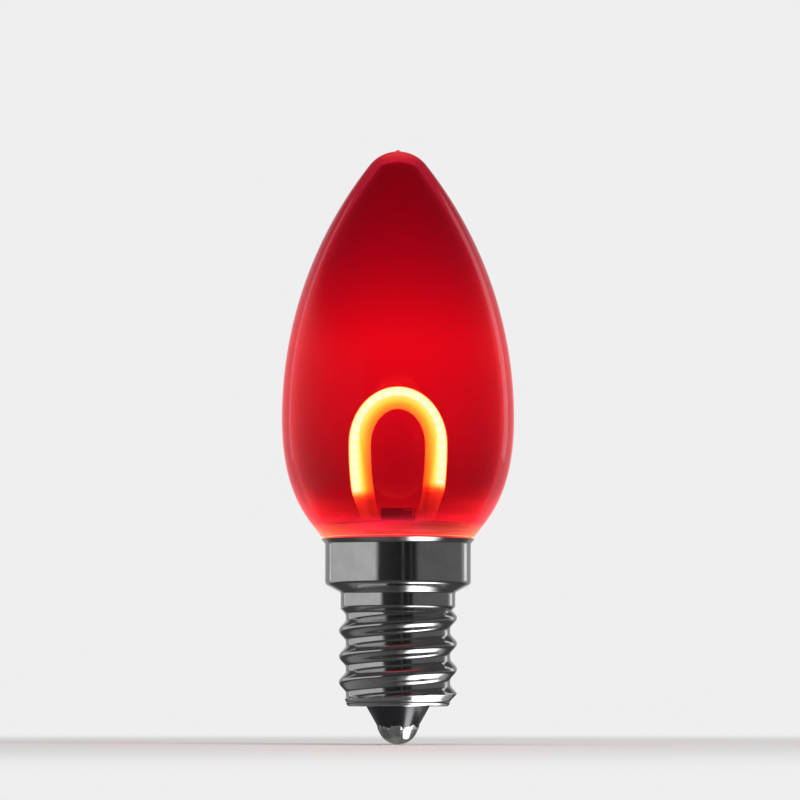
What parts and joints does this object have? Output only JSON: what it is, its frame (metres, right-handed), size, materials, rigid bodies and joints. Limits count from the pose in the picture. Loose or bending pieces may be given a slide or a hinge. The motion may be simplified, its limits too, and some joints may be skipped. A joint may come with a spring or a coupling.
{
  "type": "christmas light bulb",
  "caption": "Flame-shaped red see-through bulb with a horseshoe LED filament on a plated candelabra screw cap with a flared collar, a black insulator and a rounded centre contact.",
  "frame": {"origin": "tip of the centre contact, on the bulb's axis", "axes": "+Z along the axis from the contact to the nose, the horseshoe filament in the XZ plane, -Y the front"},
  "size_m": [0.023, 0.023, 0.059],
  "materials": {
    "red_envelope": "clear red, polished",
    "filament_silicone": "lit yellow silicone",
    "flexible_strip": "copper-clad flexible strip",
    "led_chip": "lit chip",
    "circuit_board": "pale solder mask",
    "solder": "bright tin",
    "moulded_package": "moulded epoxy",
    "tinned_lead": "tin plated",
    "resistor_black": "glazed",
    "capacitor_tan": "fired ceramic",
    "resistor_lacquer": "lacquer",
    "sealing_compound": "cloudy clear compound",
    "plated_shell": "bright nickel plate",
    "black_insulator": "glossy black",
    "eyelet_brass": "plain brass"
  },
  "bodies": {
    "root": {"envelope": "red_envelope", "filament_jacket": "filament_silicone", "filament_strip": "flexible_strip", "led_chips": "led_chip", "driver_board": "circuit_board", "filament_solder": "solder", "rectifier_body": "moulded_package", "rectifier_leads": "tinned_lead", "regulator_body": "moulded_package", "regulator_leads": "tinned_lead", "sense_resistor": "resistor_black", "smoothing_capacitor": "capacitor_tan", "chip_end_caps": "tinned_lead", "fuse_resistor": "resistor_lacquer", "fuse_leads": "tinned_lead", "fuse_solder": "solder", "shell_lead": "tinned_lead", "shell_lead_solder": "solder", "neck_sealant": "sealing_compound", "screw_shell": "plated_shell", "base_insulator": "black_insulator", "contact_eyelet": "eyelet_brass", "contact_solder": "solder"}
  },
  "joints": []
}
